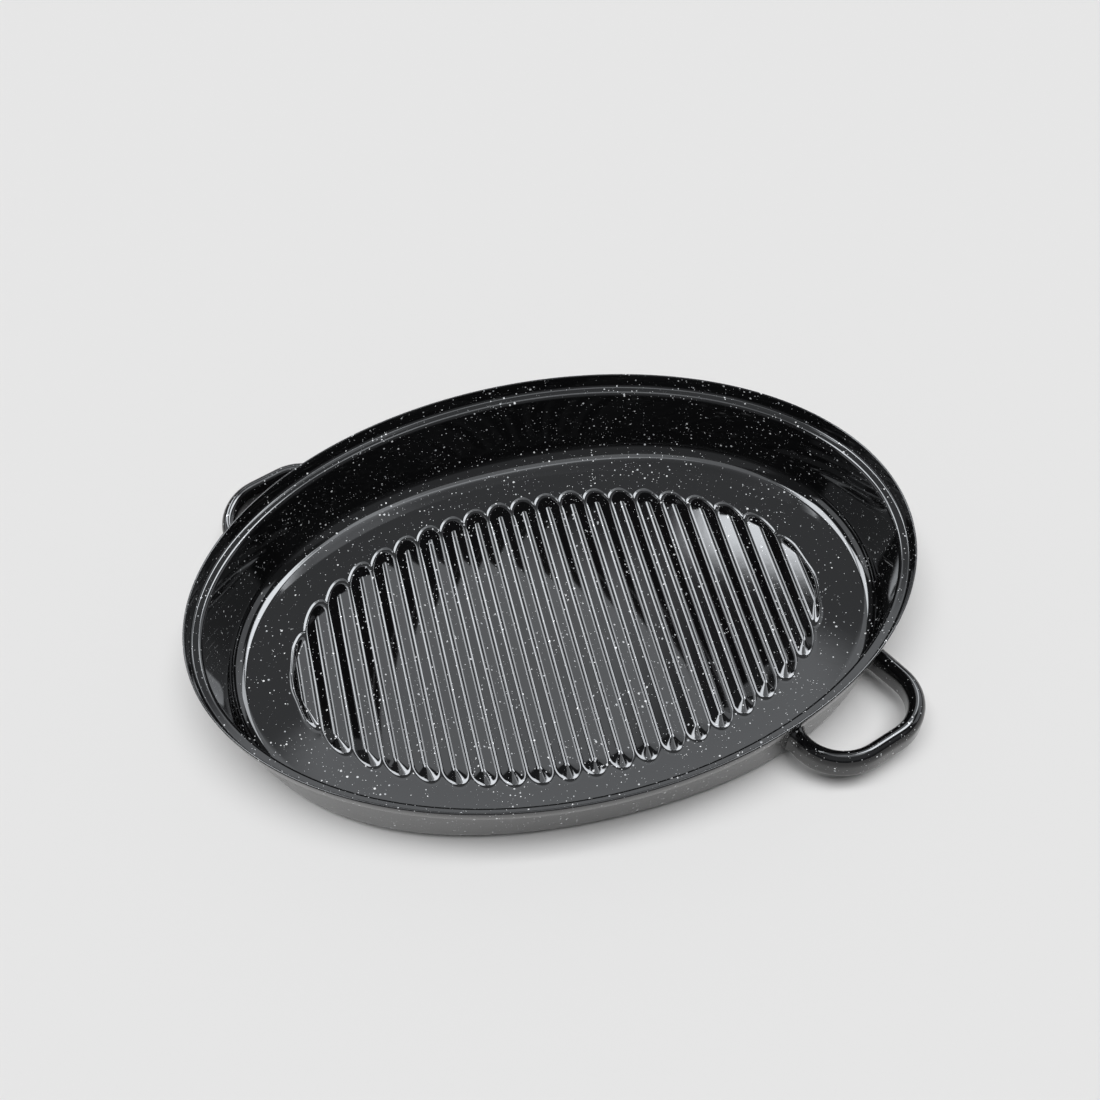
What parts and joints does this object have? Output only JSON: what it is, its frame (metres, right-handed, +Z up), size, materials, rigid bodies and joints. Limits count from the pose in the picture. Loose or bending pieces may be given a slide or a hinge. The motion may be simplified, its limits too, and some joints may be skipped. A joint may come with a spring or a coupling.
{
  "type": "roasting pan",
  "caption": "Oval enamelled steel roasting pan with a raised-ridge floor, steep wall, stepped flared rim and two bow handles set diagonally under the rim.",
  "frame": {"origin": "centre of the bounding box in plan, on the plane the pan stands on", "axes": "+X along the long axis of the oval, +Y along the floor ridges, +Z up out of the pan"},
  "size_m": [0.4, 0.2784, 0.0596],
  "materials": {
    "enamel_body": "glossy black vitreous enamel with white speckles",
    "enamel_handle": "glossy black vitreous enamel with white speckles"
  },
  "bodies": {
    "root": {"pan_shell": "enamel_body", "handle_left": "enamel_handle", "handle_right": "enamel_handle"}
  },
  "joints": []
}
